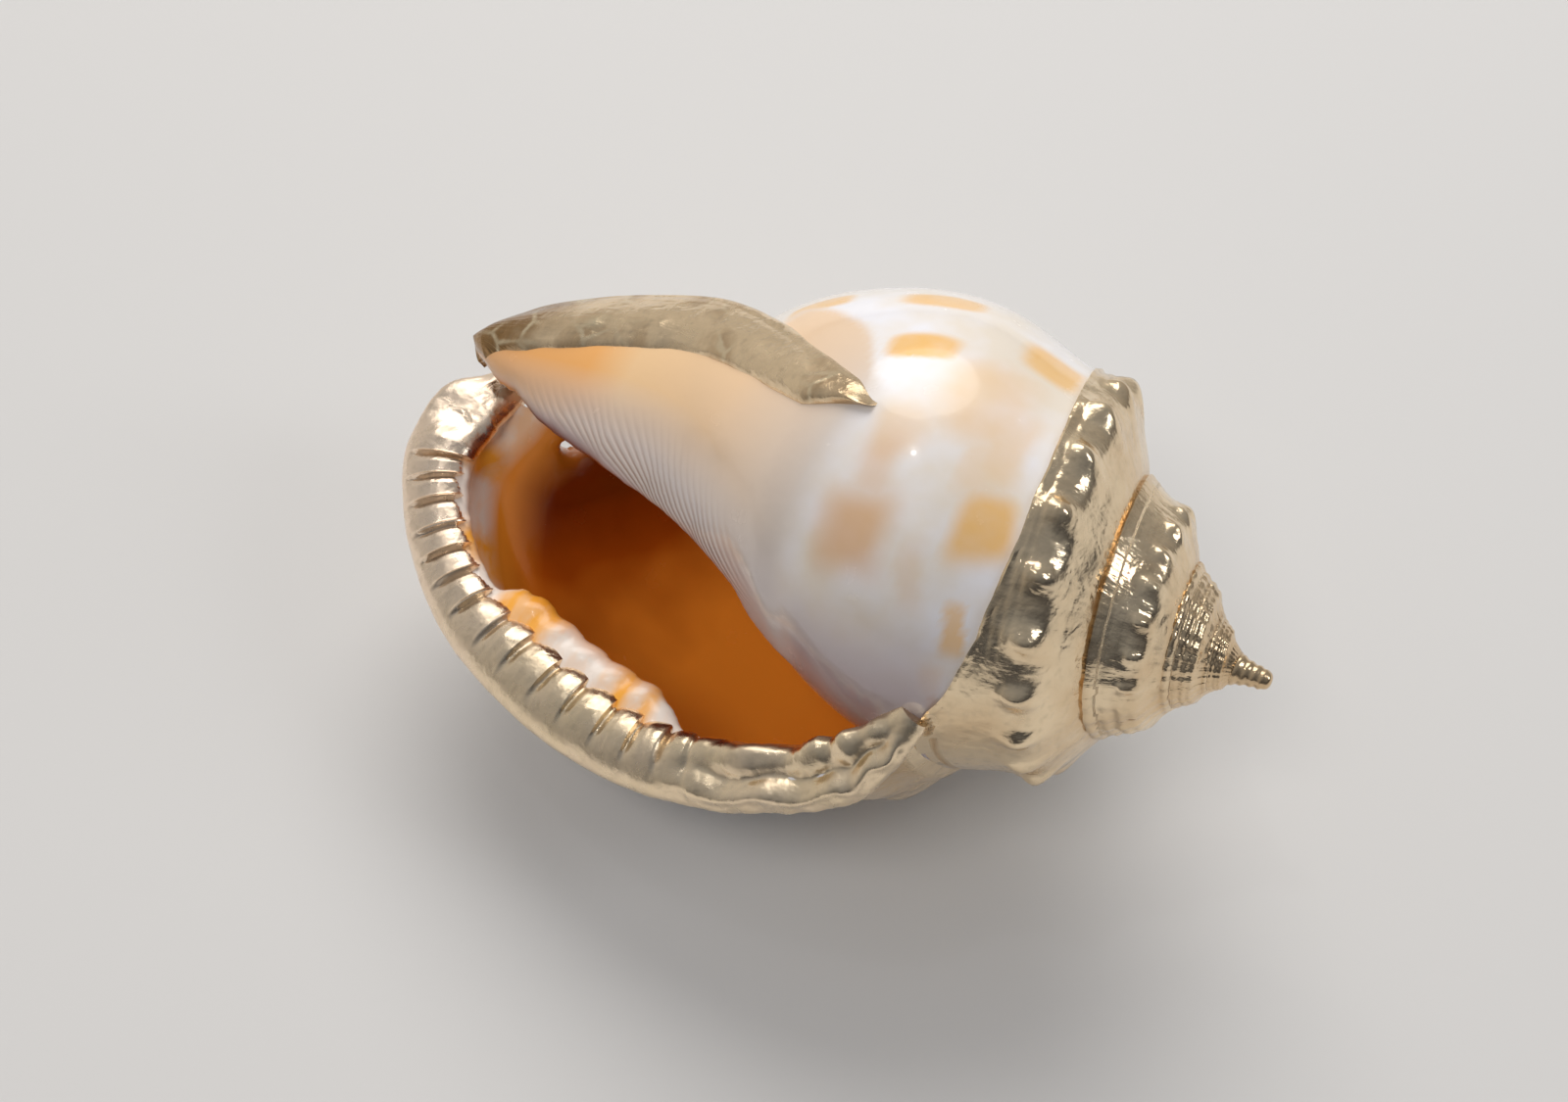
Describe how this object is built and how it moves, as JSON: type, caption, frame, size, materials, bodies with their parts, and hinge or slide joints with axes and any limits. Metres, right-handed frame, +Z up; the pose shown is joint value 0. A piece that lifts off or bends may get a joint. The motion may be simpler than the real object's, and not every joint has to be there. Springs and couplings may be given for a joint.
{
  "type": "bonnet shell",
  "caption": "Coiled bonnet sea shell lying on its back with its long mouth up, with plated metal over the spire, the outer lip and the edge of the inner shield.",
  "frame": {"origin": "bottom centre of the box round the shell, on the table it lies on", "axes": "+X level towards the apex of the spire, +Y towards the back away from the mouth, +Z up"},
  "size_m": [0.1026, 0.0658, 0.0604],
  "materials": {
    "shell": "glossy",
    "spire_plating": "polished",
    "lip_plating": "polished, rough in the folds",
    "shield_plating": "satin"
  },
  "bodies": {
    "root": {"shell": "shell", "spire_cap": "spire_plating", "outer_lip_trim": "lip_plating", "shield_trim": "shield_plating"}
  },
  "joints": []
}
